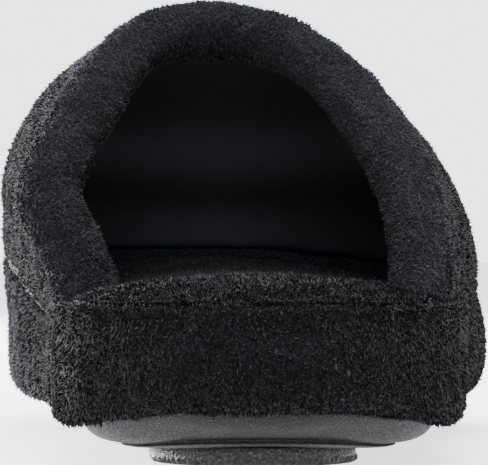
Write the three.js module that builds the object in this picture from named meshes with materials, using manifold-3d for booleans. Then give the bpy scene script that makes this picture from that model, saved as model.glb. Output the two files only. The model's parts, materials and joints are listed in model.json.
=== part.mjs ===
// A plush clog slipper for the right foot, as an assembly of the pieces that a maker joins:
// a hollow mule upper with a rolled collar, a crowned insole, a covered platform midsole,
// a moulded outsole and two tread patches.
// Millimetres, +Z up, +Y from heel to toe, +X towards the outer side of the foot.
import * as THREE from "three";
import Module from "manifold-3d";

const wasm = await Module();
wasm.setup();

// Driving sizes
const shoeLength = 262; // heel back to toe tip, over the covered platform
const heelWidth = 76; // widest across the heel of the platform
const ballWidth = 102; // widest across the ball of the platform
const instepRise = 58; // platform rim to the top of the instep, under the collar roll
const wallThickness = 6; // plush, foam and lining of the upper
const rollAtInnerWing = 6.4; // half the thickness of the collar roll, low on the inner side
const rollAtOuterWing = 4.7; // low on the outer side
const rollAtThroat = 5.2; // and at the top of the instep
const rollWidth = 15; // collar edge to the hem crease
const hemCrease = 0.8; // depth of that crease on each face
const treadThickness = 3; // tread patch below the outsole
const outsoleHeight = 3.7; // moulded outsole, base to the seat of the midsole
const heelCupRise = 2; // the outsole's side is this much taller at the very back
const rimHeight = 28.5; // platform rim above the floor, at the heel
const cushionRise = 5.1; // crown of the insole above that rim
const cushionRound = 8.8; // width of the cushion's rounded edge at the heel
const toeSpring = 8; // lift of the sole under the toe tip
const heelBevel = 1.3; // lift of the sole at the very back
const dishDepth = 6; // the platform's top is dished this deep inside its rim, at the ball
const seatGap = 0.3; // between pieces that touch
const insoleGap = 0.5; // under the insole
const sideClearance = 0.4; // between the insole's edge and the side of the dish

// Insets from the platform's outline
const rimInset = 1.3; // top edge of the platform's side
const upperInset = 1.8; // outer face of the upper's wall, at its foot
const innerWingInset = 5.6; // and at the ends of its wings, on the inner side
const outerWingInset = 3.4; // and on the outer side
const innerWingBulge = 9.5; // how far the upper swells out above its foot, at the inner wing
const innerBulge = 4.6; // forward of it on the inner side
const outerBulge = 0.6; // and on the outer side
const bulgeLow = 0.9; // below 1 the swelling sits lower on the wall
const wingTuck = 4.5; // above 1 the wings stand straight low down and swell out only higher up
const dishEdge = 0.4; // from the wall's inner face to the dish in the platform's top
const dishSlope = 1.4; // width of the dish's side
const cupInset = 6.6; // top edge of the outsole's side
const plateInset = 12.6; // edge of the flat base under it
const treadInset = 20; // edge of both tread patches

// Places along the shoe, as shares of its length from the heel's back
const heelRound = 0.175; // the heel's outline is round up to here
const toeRound = 0.29; // length of the round toe
const toeCapRound = 0.24; // length over which the toe box falls to the rim
const outlinePower = 2.25; // fullness of the round ends
const wingAt = 0.345; // rear ends of the upper, at the rim
const throatAt = 0.515; // collar edge at the top of the instep
const wingLength = 0.1; // the wings stand in from the rim over this length
const insoleFlare = 0.055; // the insole widens to the heel over this length behind the wings
const ridgeCentre = -0.078; // instep ridge beside the shoe's axis, share of the ball width

// The platform in plan. blend: 0 takes the heel width and 1 the ball width; fill: share of that width;
// centre: middle of the outline beside the axis, share of the ball width.
const planTable = [
  { at: 0.0, blend: 0.0, fill: 1.0, centre: 0.0 },
  { at: 0.17, blend: 0.0, fill: 1.0, centre: 0.0 },
  { at: 0.3, blend: 0.06, fill: 0.995, centre: -0.002 },
  { at: 0.42, blend: 0.3, fill: 0.985, centre: 0.004 },
  { at: 0.52, blend: 0.59, fill: 0.985, centre: 0.01 },
  { at: 0.62, blend: 0.86, fill: 0.995, centre: 0.01 },
  { at: 0.72, blend: 1.0, fill: 1.0, centre: 0.006 },
  { at: 0.82, blend: 1.0, fill: 1.0, centre: -0.018 },
  { at: 0.9, blend: 1.0, fill: 0.985, centre: -0.044 },
  { at: 1.0, blend: 1.0, fill: 0.93, centre: -0.08 },
];

// Heights along the shoe. arch: lift of the sole, share of the toe spring; bevel: share of the heel's
// bevel and of its cup rise; innerRim and outerRim: rim of the platform, share of its heel height;
// dish: share of the dish's depth; footbed: crown of the insole, share of its height at the heel.
const heightTable = [
  { at: 0.0, arch: 0.0, bevel: 1.0, innerRim: 1.0, outerRim: 1.0, dish: 0.0, footbed: 0.985 },
  { at: 0.09, arch: 0.0, bevel: 0.15, innerRim: 1.0, outerRim: 1.0, dish: 0.0, footbed: 1.0 },
  { at: 0.2, arch: 0.0, bevel: 0.0, innerRim: 0.97, outerRim: 0.98, dish: 0.0, footbed: 0.995 },
  { at: 0.34, arch: 0.0, bevel: 0.0, innerRim: 0.86, outerRim: 0.95, dish: 0.0, footbed: 0.98 },
  { at: 0.46, arch: 0.12, bevel: 0.0, innerRim: 0.88, outerRim: 1.0, dish: 0.45, footbed: 0.97 },
  { at: 0.58, arch: 0.04, bevel: 0.0, innerRim: 1.03, outerRim: 1.06, dish: 0.9, footbed: 0.97 },
  { at: 0.66, arch: 0.0, bevel: 0.0, innerRim: 1.15, outerRim: 1.09, dish: 1.0, footbed: 0.98 },
  { at: 0.75, arch: 0.0, bevel: 0.0, innerRim: 1.25, outerRim: 1.13, dish: 1.0, footbed: 1.0 },
  { at: 0.84, arch: 0.17, bevel: 0.0, innerRim: 1.29, outerRim: 1.18, dish: 1.0, footbed: 1.03 },
  { at: 0.92, arch: 0.52, bevel: 0.0, innerRim: 1.32, outerRim: 1.25, dish: 1.0, footbed: 1.08 },
  { at: 1.0, arch: 1.0, bevel: 0.0, innerRim: 1.34, outerRim: 1.34, dish: 1.0, footbed: 1.14 },
];

// The ridge of the upper. rise: share of the instep rise; innerPower and outerPower: fullness of the
// arch on the two sides of the ridge, where 2 is an ellipse and more is squarer.
const ridgeTable = [
  { at: 0.3, rise: 0.88, innerPower: 2.3, outerPower: 1.8 },
  { at: 0.42, rise: 0.97, innerPower: 2.35, outerPower: 1.8 },
  { at: 0.515, rise: 1.0, innerPower: 2.35, outerPower: 1.8 },
  { at: 0.6, rise: 0.95, innerPower: 2.6, outerPower: 1.85 },
  { at: 0.7, rise: 0.81, innerPower: 2.8, outerPower: 2.0 },
  { at: 0.8, rise: 0.66, innerPower: 2.6, outerPower: 2.1 },
  { at: 0.9, rise: 0.55, innerPower: 2.4, outerPower: 2.2 },
  { at: 1.0, rise: 0.48, innerPower: 2.2, outerPower: 2.2 },
];

// Profiles of the sole's side from the base up. inset: from the platform's outline, share of the named
// inset; lift: share of the piece's height at that place.
const cupProfile = [
  { inset: 1.03, of: plateInset, lift: 0.0 },
  { inset: 1.0, of: plateInset, lift: 0.1 },
  { inset: 1.08, of: plateInset, lift: 0.13 },
  { inset: 1.05, of: plateInset, lift: 0.2 },
  { inset: 0.86, of: plateInset, lift: 0.22 },
  { inset: 0.66, of: plateInset, lift: 0.4 },
  { inset: 1.07, of: cupInset, lift: 0.68 },
  { inset: 1.0, of: cupInset, lift: 1.0 },
];
const wrapProfile = [
  { inset: 1.05, of: cupInset, lift: 0.0 },
  { inset: 0.42, of: cupInset, lift: 0.012 },
  { inset: 0.16, of: cupInset, lift: 0.08 },
  { inset: 0.03, of: cupInset, lift: 0.22 },
  { inset: 0.0, of: cupInset, lift: 0.5 },
  { inset: 0.15, of: rimInset, lift: 0.76 },
  { inset: 0.45, of: rimInset, lift: 0.92 },
  { inset: 1.0, of: rimInset, lift: 1.0 },
];

// The insole's edge from its seat up, a row for each fold. heelInset: behind the upper, where the
// cushion rounds over, and walledInset: added between the walls of the upper, as shares of the round
// edge's width; lift: share of the height.
const cushionProfile = [
  { heelInset: 0.15, walledInset: 0.0, lift: 0.0 },
  { heelInset: 0.18, walledInset: 0.0, lift: 0.22 },
  { heelInset: 0.33, walledInset: 0.08, lift: 0.52 },
  { heelInset: 0.61, walledInset: 0.25, lift: 0.82 },
  { heelInset: 1.0, walledInset: 0.52, lift: 1.0 },
];
const cushionEdgeDrop = 0.32; // the edge of the cushion stays this share of its height below the crown

const sideSteps = 36; // stations along each side of an outline
const acrossSteps = 6; // spans across a flat or crowned face
const upperColumns = 72; // spans along the foot of the upper
const wallRows = 8; // spans from the hem crease down to the rim
const lipTurns = 4; // spans in the round lip of the collar
const hemRows = [0.6, 0.85, 1, 1.15]; // rows at the hem crease, shares of the roll's width
const levelBelow = 2; // the upper's wall stands level up to here above the rim
const turnHeight = 14; // and turns to the lie of the arch over this height

const ridgeX = ridgeCentre * ballWidth;

// A smooth curve through one column of a table, that never swings past its rows.
function valueAt(table, column, at) {
  const last = table.length - 1;
  let i = 0;
  while (i < last - 1 && at > table[i + 1].at) i += 1;
  const chord = (k) => (table[k + 1][column] - table[k][column]) / (table[k + 1].at - table[k].at);
  const slope = (k) => {
    const [before, after] = [chord(Math.max(k - 1, 0)), chord(Math.min(k, last - 1))];
    return before * after > 0 ? (2 * before * after) / (before + after) : 0;
  };
  const span = table[i + 1].at - table[i].at;
  const t = THREE.MathUtils.clamp((at - table[i].at) / span, 0, 1);
  const rise = table[i + 1][column] - table[i][column];
  const [start, end] = [slope(i) * span, slope(i + 1) * span];
  return (
    table[i][column] +
    t * (start + t * (3 * rise - 2 * start - end + t * (start + end - 2 * rise)))
  );
}

const { lerp, clamp, smoothstep } = THREE.MathUtils;

// Falls from 1 to 0 along a superellipse as share goes from 0 to 1.
const rounded = (share, power) => (1 - clamp(share, 0, 1) ** power) ** (1 / power);

function endRounding(at) {
  return rounded(1 - at / heelRound, outlinePower) * rounded(1 - (1 - at) / toeRound, outlinePower);
}

// A point of the platform's outline; side is 1 on the outer side of the foot and -1 on the inner.
function outlinePoint(at, side) {
  const width = lerp(heelWidth, ballWidth, valueAt(planTable, "blend", at));
  const half = (width / 2) * valueAt(planTable, "fill", at) * endRounding(at);
  const x = ballWidth * valueAt(planTable, "centre", at) + side * half;
  return new THREE.Vector2(x, at * shoeLength);
}

// The outward direction of the outline there.
function outlineNormal(at, side) {
  if (at <= 0) return new THREE.Vector2(0, -1);
  if (at >= 1) return new THREE.Vector2(0, 1);
  const step = Math.min(1e-4, at / 2, (1 - at) / 2);
  const along = outlinePoint(at + step, side).sub(outlinePoint(at - step, side));
  return new THREE.Vector2(side * along.y, -side * along.x).normalize();
}

const soleLift = (at) =>
  toeSpring * valueAt(heightTable, "arch", at) + heelBevel * valueAt(heightTable, "bevel", at);
const outsoleBase = (at) => treadThickness + soleLift(at);
const cupHeight = (at) => outsoleHeight + heelCupRise * valueAt(heightTable, "bevel", at);
const midsoleSeat = (at) => outsoleBase(at) + cupHeight(at) + seatGap;
const footbedTop = (at) => (rimHeight + cushionRise) * valueAt(heightTable, "footbed", at);

function rimAt(at, side) {
  const [inner, outer] = ["innerRim", "outerRim"].map((c) => valueAt(heightTable, c, at));
  return rimHeight * lerp(inner, outer, (side + 1) / 2);
}

// How far in from the outline the upper's wall stands at its foot: its outer and its inner face.
const pastWing = (at) => smoothstep(at, wingAt, wingAt + wingLength);
const wingInset = (side) => (side < 0 ? innerWingInset : outerWingInset);
const wingRoll = (side) => (side < 0 ? rollAtInnerWing : rollAtOuterWing);
const footInset = (at, side) => lerp(wingInset(side), upperInset, pastWing(at));
function innerFaceInset(at, side) {
  const atWing = wingInset(side) + wallThickness / 2 + wingRoll(side);
  return lerp(atWing, upperInset + wallThickness, pastWing(at));
}

// The dish that the insole lies in.
const dishInset = (at, side) => innerFaceInset(at, side) + dishEdge;
const dishFloor = (at, side) => rimAt(at, side) - dishDepth * valueAt(heightTable, "dish", at);

// The stations of a closed outline: heel back, outer side to the toe tip, inner side back.
const stations = Array.from({ length: 2 * sideSteps }, (_, i) => {
  const at = (1 - Math.cos((Math.PI * i) / sideSteps)) / 2;
  return { at, side: i % sideSteps === 0 ? 0 : i < sideSteps ? 1 : -1 };
});

// One ring of points round the outline, moved in by inset(at, side) at height(at, side).
function ring(inset, height) {
  return stations.map(({ at, side }) => {
    const p = outlinePoint(at, side).addScaledVector(outlineNormal(at, side), -inset(at, side));
    return new THREE.Vector3(p.x, p.y, height(at, side));
  });
}

// A closed mesh from points and triangles, with equal points joined.
function closedGeometry(points, triangles) {
  const places = new Map();
  const positions = [];
  const joined = points.map((p) => {
    const key = [p.x, p.y, p.z].map((v) => Math.round(v * 1e4)).join();
    if (!places.has(key)) {
      places.set(key, positions.length / 3);
      positions.push(p.x, p.y, p.z);
    }
    return places.get(key);
  });
  const index = triangles
    .map((corners) => corners.map((c) => joined[c]))
    .filter(([a, b, c]) => a !== b && b !== c && c !== a);
  return new THREE.BufferGeometry()
    .setAttribute("position", new THREE.Float32BufferAttribute(positions, 3))
    .setIndex(index.flat());
}

// A slab: rings stacked from base to top, closed by faces across the outline. A ring runs up the outer
// side and back down the inner one. crown(row, across) lifts the top face, where row counts from the
// ring's start and across goes from 0 at the outer side to 1 at the inner.
function slab(rings, crown = () => 0) {
  const count = rings[0].length;
  const points = rings.flat();
  const triangles = [];
  for (let k = 0; k + 1 < rings.length; k += 1)
    for (let i = 0; i < count; i += 1) {
      const next = (i + 1) % count;
      const [a, b] = [k * count + i, k * count + next];
      triangles.push([a, b, b + count], [a, b + count, a + count]);
    }
  const face = (first, lift, up) => {
    const rows = [];
    for (let j = 0; j <= count / 2; j += 1) {
      const [outer, inner] = [first + j, first + ((count - j) % count)];
      const row = [outer];
      for (let a = 1; a < acrossSteps; a += 1) {
        const across = a / acrossSteps;
        const p = points[outer].clone().lerp(points[inner], across);
        p.z += lift(j, across);
        row.push(outer === inner ? outer : points.push(p) - 1);
      }
      rows.push([...row, inner]);
    }
    for (let j = 0; j < count / 2; j += 1)
      for (let a = 0; a < acrossSteps; a += 1) {
        const [p, q, r, s] = [rows[j][a], rows[j + 1][a], rows[j + 1][a + 1], rows[j][a + 1]];
        triangles.push(...(up ? [[p, q, r], [p, r, s]] : [[p, r, q], [p, s, r]]));
      }
  };
  face(0, () => 0, false);
  face((rings.length - 1) * count, crown, true);
  return closedGeometry(points, triangles);
}

function outsoleGeometry() {
  return slab(
    cupProfile.map((row) =>
      ring(
        () => row.inset * row.of,
        (at) => outsoleBase(at) + row.lift * cupHeight(at),
      ),
    ),
  );
}

function midsoleGeometry() {
  const side = wrapProfile.map((row) =>
    ring(
      () => row.inset * row.of,
      (at, side) => lerp(midsoleSeat(at), rimAt(at, side), row.lift),
    ),
  );
  const dish = [ring(dishInset, rimAt), ring((at, side) => dishInset(at, side) + dishSlope, dishFloor)];
  return slab([...side, ...dish]);
}

// The foot line of the upper: share 0 at the inner wing's end, 0.5 at the toe tip, 1 at the outer wing's.
function footLine(share) {
  const side = share < 0.5 ? -1 : 1;
  const at = lerp(wingAt, 1, (1 - Math.cos(2 * Math.PI * share)) / 2);
  const outward = outlineNormal(at, side);
  const point = outlinePoint(at, side).addScaledVector(outward, -footInset(at, side));
  return { at, side, outward, point };
}

// Where the foot line lies across the shoe, on one side at a place along it.
const footRuns = [-1, 1].map((side) =>
  Array.from({ length: 121 }, (_, i) => footLine((1 + (side * (120 - i)) / 120) / 2).point),
);
function footEdge(y, side) {
  const run = footRuns[side < 0 ? 0 : 1];
  const i = Math.max(1, run.findIndex((p) => p.y >= y));
  const [a, b] = y > run.at(-1).y ? [run.at(-1), run.at(-1)] : [run[i - 1], run[i]];
  return lerp(a.x, b.x, clamp((y - a.y) / (b.y - a.y || 1), 0, 1));
}

// The arch of the upper at a place in plan: its height over the rim and the share of the rise there.
function archAt(x, y) {
  const at = y / shoeLength;
  const [side, column] = x < ridgeX ? [-1, "innerPower"] : [1, "outerPower"];
  const away = (x - ridgeX) / (footEdge(y, side) - ridgeX);
  const tip = 1 - upperInset / shoeLength;
  const toe = rounded((at - (tip - toeCapRound)) / toeCapRound, outlinePower);
  const share = toe * rounded(Math.abs(away), valueAt(ridgeTable, column, at));
  return { share, height: share * instepRise * valueAt(ridgeTable, "rise", at) };
}

// The collar edge in plan, for the same share.
function collarLine(share) {
  const turn = Math.PI * share;
  const side = share < 0.5 ? -1 : 1;
  const end = footLine(side < 0 ? 0 : 1).point;
  const x = lerp(ridgeX, end.x, Math.abs(Math.cos(turn)));
  return new THREE.Vector2(x, lerp(end.y, throatAt * shoeLength, Math.sin(turn)));
}

// A point of the upper's outer face without its roll: climb is 0 at the foot line and 1 at the collar.
function upperPoint(share, climb) {
  const foot = footLine(share);
  const plan = foot.point.clone().lerp(collarLine(share), 1 - Math.cos((Math.PI / 2) * climb));
  const at = plan.y / shoeLength;
  const [inner, outer] = [outlinePoint(at, -1).x, outlinePoint(at, 1).x];
  const across = outer > inner ? clamp((plan.x - inner) / (outer - inner), 0, 1) : 0.5;
  const standing = climb > 0 && share > 0 && share < 1;
  const inward = standing ? smoothstep(climb, 0, 0.3) : 0;
  const rim = lerp(rimAt(foot.at, foot.side), lerp(rimAt(at, -1), rimAt(at, 1), across), inward);
  const arch = standing ? archAt(plan.x, plan.y) : { share: 0, height: 0 };
  const forward = smoothstep(at, wingAt, throatAt);
  const innerSwell = lerp(innerWingBulge, innerBulge, forward);
  const swellShape = Math.sin(Math.PI * Math.min(1, arch.share ** bulgeLow)) ** lerp(wingTuck, 1, forward);
  const bulge = lerp(innerSwell, outerBulge, (foot.outward.x + 1) / 2);
  plan.addScaledVector(foot.outward, bulge * Math.max(0, swellShape));
  const height = rim + seatGap + arch.height;
  return { point: new THREE.Vector3(plan.x, plan.y, height), above: arch.height };
}

// The outward direction of that face; level near the foot and at the wings' ends.
function upperNormal(share, climb, above) {
  const { outward } = footLine(share);
  const level = new THREE.Vector3(outward.x, outward.y, 0);
  const turned = smoothstep(above, levelBelow, levelBelow + turnHeight);
  if (turned === 0) return level;
  const step = 4e-3;
  const along = upperPoint(Math.min(share + step, 1), climb).point.sub(
    upperPoint(Math.max(share - step, 0), climb).point,
  );
  const up = upperPoint(share, Math.min(climb + step, 1)).point.sub(
    upperPoint(share, climb - step).point,
  );
  return level.lerp(up.cross(along).normalize(), turned).normalize();
}

// Half the thickness of the collar roll.
function rollHalf(share) {
  return lerp(wingRoll(share - 0.5), rollAtThroat, Math.sin(Math.PI * share));
}

// Half the thickness of the upper at a distance from the collar edge.
function halfWall(share, distance) {
  const full = rollHalf(share);
  const lip = full * rounded(1 - distance / full, 2);
  const past = smoothstep(distance, rollWidth * 0.55, rollWidth);
  const crease = hemCrease * rounded(Math.abs(distance - rollWidth) / (rollWidth / 4), 1);
  return Math.min(lip, lerp(full, wallThickness / 2, past)) - Math.min(crease, lip / 2);
}

// Points down one column of the upper's outer face, from the collar edge to the foot, with the
// distance of each from the nearest point of the edge and from the column's own start.
const fineSteps = 96;
const edgeRun = Array.from({ length: 181 }, (_, i) => upperPoint(i / 180, 1).point);
function fineColumn(share) {
  const samples = Array.from({ length: fineSteps + 1 }, (_, i) => {
    const { point } = upperPoint(share, 1 - i / fineSteps);
    const closest = Math.min(...edgeRun.map((p) => p.distanceTo(point)));
    return { point, away: i === 0 ? 0 : closest, run: 0 };
  });
  for (let i = 1; i <= fineSteps; i += 1) {
    const [a, b] = [samples[i - 1], samples[i]];
    b.run = a.run + a.point.distanceTo(b.point);
    b.away = Math.max(a.away, b.away);
  }
  return samples;
}

// The place in a fine column, counted in samples, where a measure reaches a value.
function reach(samples, measure, value) {
  let i = 1;
  while (i < fineSteps && samples[i][measure] < value) i += 1;
  const [a, b] = [samples[i - 1][measure], samples[i][measure]];
  return i - 1 + clamp((value - a) / Math.max(b - a, 1e-9), 0, 1);
}

// The rows of one column of the upper, from the collar edge to the foot line.
function upperColumn(share) {
  const samples = fineColumn(share);
  const { away: deepest, run: total } = samples[fineSteps];
  const turns = Array.from({ length: lipTurns + 1 }, (_, k) => 1 - Math.cos((Math.PI * k) / (2 * lipTurns)));
  const collar = [...turns.map((t) => t * rollHalf(share)), ...hemRows.map((t) => t * rollWidth)];
  const squeeze = Math.min(1, deepest / (2 * collar.at(-1)));
  const near = collar.map((distance) => reach(samples, "away", distance * squeeze));
  const last = near.at(-1);
  const start = lerp(samples[Math.floor(last)].run, samples[Math.ceil(last)].run, last % 1);
  const wall = Array.from({ length: wallRows }, (_, k) =>
    reach(samples, "run", lerp(start, total, Math.sin((Math.PI * (k + 1)) / (2 * wallRows)))),
  );
  near[0] = 0;
  wall[wallRows - 1] = fineSteps;
  return [...near, ...wall].map((place) => {
    const climb = 1 - place / fineSteps;
    const { point, above } = upperPoint(share, climb);
    const [a, b] = [samples[Math.floor(place)], samples[Math.ceil(place)]];
    const half = halfWall(share, lerp(a.away, b.away, place % 1));
    const normal = upperNormal(share, climb, above);
    const face = (out) => point.clone().addScaledVector(normal, out - wallThickness / 2);
    return { outer: face(half), inner: face(-half) };
  });
}

function upperGeometry() {
  const columns = Array.from({ length: upperColumns + 1 }, (_, c) => upperColumn(c / upperColumns));
  const rows = columns[0].length;
  const points = columns.flatMap((column) => column.flatMap((p) => [p.outer, p.inner]));
  const outer = (c, r) => 2 * (c * rows + r);
  const inner = (c, r) => outer(c, r) + 1;
  const triangles = [];
  for (let c = 0; c < upperColumns; c += 1) {
    for (let r = 0; r + 1 < rows; r += 1) {
      const [a, b, d, e] = [outer(c, r), outer(c + 1, r), outer(c + 1, r + 1), outer(c, r + 1)];
      triangles.push([a, b, d], [a, d, e]);
      const [f, g, h, k] = [inner(c, r), inner(c + 1, r), inner(c + 1, r + 1), inner(c, r + 1)];
      triangles.push([f, h, g], [f, k, h]);
    }
    const foot = rows - 1;
    const [a, b] = [outer(c, foot), outer(c + 1, foot)];
    triangles.push([a, b, b + 1], [a, b + 1, a + 1]);
  }
  return closedGeometry(points, triangles);
}

// The insole keeps to the dish between the walls, and widens to the heel's edge behind the wings.
function walledInset(at, side) {
  const spread = smoothstep(at, wingAt - insoleFlare, wingAt);
  return spread * (dishInset(at, side) + dishSlope + sideClearance);
}

function insoleGeometry() {
  const base = (at, side) => dishFloor(at, side) + insoleGap;
  const edgeTop = (at, side) => lerp(footbedTop(at), base(at, side), cushionEdgeDrop);
  const rings = cushionProfile.map((row) =>
    ring(
      (at, side) => {
        const walled = walledInset(at, side);
        const inside = smoothstep(walled, 0, dishInset(at, side));
        return lerp(row.heelInset * cushionRound, walled + row.walledInset * cushionRound, inside);
      },
      (at, side) => lerp(base(at, side), edgeTop(at, side), row.lift),
    ),
  );
  return slab(rings, (row, across) => {
    const { at } = stations[row];
    const bow = 1 - (2 * across - 1) ** 2;
    const edge = lerp(edgeTop(at, 1), edgeTop(at, -1), across);
    return (footbedTop(at) - edge) * bow * endRounding(at) ** 2;
  });
}

// Solid and geometry, both ways.
function toSolid(geometry) {
  return new wasm.Manifold(
    new wasm.Mesh({
      numProp: 3,
      vertProperties: new Float32Array(geometry.getAttribute("position").array),
      triVerts: new Uint32Array(geometry.index.array),
    }),
  );
}

function toGeometry(solid) {
  const mesh = solid.getMesh();
  return new THREE.BufferGeometry()
    .setAttribute("position", new THREE.BufferAttribute(mesh.vertProperties, 3))
    .setIndex(new THREE.BufferAttribute(mesh.triVerts, 1));
}

// Tread patches: they follow the sole's outline and its lift, and have cross grooves.
const heelTread = { from: 0.066, to: 0.33, frontPower: 3, backPower: 2.3 };
const ballTread = { from: 0.5, to: 0.9, frontPower: 2.4, backPower: 3 };
const grooveWidth = 1.8;
const grooveDepth = 1.3;
const groovePitch = 7.5;
const treadBorder = 4; // ungrooved edge of a patch
const treadSkirt = 0.8; // the patch's foot is this much smaller than its root

// One ring of points round a patch, moved in by shrink, at height(at).
function patchRing(patch, shrink, height) {
  const steps = 18;
  return Array.from({ length: 2 * steps }, (_, i) => {
    const share = (1 - Math.cos((Math.PI * i) / steps)) / 2;
    const at = lerp(patch.from, patch.to, share);
    const taper = (away, power) => rounded(1 - away / 0.4, power);
    const round = taper(share, patch.backPower) * taper(1 - share, patch.frontPower);
    const [inner, outer] = [outlinePoint(at, -1).x, outlinePoint(at, 1).x];
    const half = (outer - inner) / 2 - treadInset - shrink;
    const y = at * shoeLength + shrink * (1 - 2 * share);
    return new THREE.Vector3((inner + outer) / 2 + Math.sign(steps - i) * half * round, y, height(at));
  });
}

function treadGeometry(patch) {
  const foot = patchRing(patch, treadSkirt, soleLift);
  const shoulder = patchRing(patch, 0, (at) => soleLift(at) + treadSkirt);
  const root = patchRing(patch, 0, (at) => outsoleBase(at) - seatGap);
  let solid = toSolid(slab([foot, shoulder, root]));
  const [start, end] = [patch.from * shoeLength, patch.to * shoeLength];
  const count = Math.floor((end - start - 4 * treadBorder) / groovePitch);
  for (let i = 0; i <= count; i += 1) {
    const y = (start + end) / 2 + (i - count / 2) * groovePitch;
    const at = y / shoeLength;
    const [inner, outer] = [outlinePoint(at, -1).x, outlinePoint(at, 1).x];
    const run = outer - inner - 2 * (treadInset + treadBorder);
    const groove = new THREE.BoxGeometry(run, grooveWidth, 2 * grooveDepth);
    groove.translate((inner + outer) / 2, y, soleLift(at));
    solid = solid.subtract(toSolid(weld(groove)));
  }
  return toGeometry(solid);
}

// A box with its corners joined and only its positions kept.
function weld(geometry) {
  const flat = geometry.toNonIndexed().getAttribute("position");
  const points = Array.from({ length: flat.count }, (_, i) =>
    new THREE.Vector3().fromBufferAttribute(flat, i),
  );
  const faces = Array.from({ length: flat.count / 3 }, (_, i) => [3 * i, 3 * i + 1, 3 * i + 2]);
  return closedGeometry(points, faces);
}

// Finishes
const plush = { color: 0x1b1b1f, roughness: 0.95, metalness: 0 };
const finishes = {
  upper: plush,
  insole: { ...plush, color: 0x18181b },
  midsole: plush,
  outsole: { color: 0x3a3a3e, roughness: 0.6, metalness: 0 },
  heel_tread: { color: 0x303034, roughness: 0.75, metalness: 0 },
  ball_tread: { color: 0x303034, roughness: 0.75, metalness: 0 },
};

const geometries = {
  upper: upperGeometry(),
  insole: insoleGeometry(),
  midsole: midsoleGeometry(),
  outsole: outsoleGeometry(),
  heel_tread: treadGeometry(heelTread),
  ball_tread: treadGeometry(ballTread),
};

const slipper = new THREE.Group();
slipper.name = "clog_slipper";
for (const [name, geometry] of Object.entries(geometries)) {
  const mesh = new THREE.Mesh(geometry, new THREE.MeshStandardMaterial(finishes[name]));
  mesh.name = name;
  slipper.add(mesh);
}

// The origin is under the middle of the whole shoe, on the floor.
const box = new THREE.Box3().setFromObject(slipper);
const middle = box.getCenter(new THREE.Vector3());
slipper.position.set(-middle.x, -middle.y, -box.min.z);

export default slipper;
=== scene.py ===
import json
import math
import bpy
import numpy as np
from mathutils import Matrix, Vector

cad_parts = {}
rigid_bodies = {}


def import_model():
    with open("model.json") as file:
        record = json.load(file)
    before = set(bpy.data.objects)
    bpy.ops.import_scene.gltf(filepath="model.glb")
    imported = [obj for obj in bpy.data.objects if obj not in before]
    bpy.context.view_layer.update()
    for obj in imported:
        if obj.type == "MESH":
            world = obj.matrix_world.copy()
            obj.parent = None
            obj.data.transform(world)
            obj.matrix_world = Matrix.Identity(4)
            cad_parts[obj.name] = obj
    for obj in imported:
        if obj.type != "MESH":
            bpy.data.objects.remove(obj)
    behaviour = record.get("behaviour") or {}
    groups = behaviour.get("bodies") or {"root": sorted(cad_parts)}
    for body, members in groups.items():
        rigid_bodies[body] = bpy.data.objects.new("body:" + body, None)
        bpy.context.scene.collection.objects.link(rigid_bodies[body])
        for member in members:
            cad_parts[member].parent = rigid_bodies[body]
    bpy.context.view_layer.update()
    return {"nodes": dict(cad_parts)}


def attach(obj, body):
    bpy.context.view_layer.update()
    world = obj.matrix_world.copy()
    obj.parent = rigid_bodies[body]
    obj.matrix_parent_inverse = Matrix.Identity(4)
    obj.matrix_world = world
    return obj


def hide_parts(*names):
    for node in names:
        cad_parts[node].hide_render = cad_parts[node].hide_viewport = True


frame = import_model()
nodes = frame["nodes"]
mm = 0.001
print("frame loaded:", ", ".join(sorted(nodes)))


# Small helpers

def pick(piece):
    bpy.ops.object.select_all(action="DESELECT")
    piece.select_set(True)
    bpy.context.view_layer.objects.active = piece


def finishWith(piece, kind, **settings):
    # adds one modifier and applies it
    pick(piece)
    modifier = piece.modifiers.new(kind.title(), kind)
    for setting, value in settings.items():
        setattr(modifier, setting, value)
    bpy.ops.object.modifier_apply(modifier=modifier.name)


def solidCopy(node, name):
    # a joined, four-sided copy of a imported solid, which a soft piece grows from
    piece = bpy.data.objects.new(name, nodes[node].data.copy())
    bpy.context.scene.collection.objects.link(piece)
    piece.data.name = name
    piece.data.materials.clear()
    pick(piece)
    bpy.ops.object.mode_set(mode="EDIT")
    bpy.ops.mesh.select_all(action="SELECT")
    bpy.ops.mesh.remove_doubles(threshold=0.02 * mm)
    bpy.ops.mesh.tris_convert_to_quads(face_threshold=0.8, shape_threshold=0.8)
    bpy.ops.object.mode_set(mode="OBJECT")
    return piece


def readPoints(piece, what="co"):
    values = np.empty(len(piece.data.vertices) * 3, np.float32)
    piece.data.vertices.foreach_get(what, values)
    return values.reshape(-1, 3).astype(np.float64)


def writePoints(piece, points):
    piece.data.vertices.foreach_set("co", points.astype(np.float32).ravel())
    piece.data.update()


def ease(value, low, high):
    # 0 at low, 1 at high, soft between them
    share = np.clip((value - low) / (high - low), 0, 1)
    return share * share * (3 - 2 * share)


def nearLine(points, line, chunk=20000):
    # how far each point is from a line of corners, and how far along the line that is
    line = np.asarray(line, float)
    first, step = line[:-1], line[1:] - line[:-1]
    length = (step ** 2).sum(1)
    away, along = np.empty(len(points)), np.empty(len(points))
    for start in range(0, len(points), chunk):
        some = points[start:start + chunk, None, :] - first[None]
        share = np.clip((some * step[None]).sum(2) / length[None], 0, 1)
        gap = np.linalg.norm(some - share[..., None] * step[None], axis=2)
        best = gap.argmin(1)
        row = np.arange(len(best))
        away[start:start + chunk] = gap[row, best]
        along[start:start + chunk] = best + share[row, best]
    return away, along / len(first)


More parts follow.
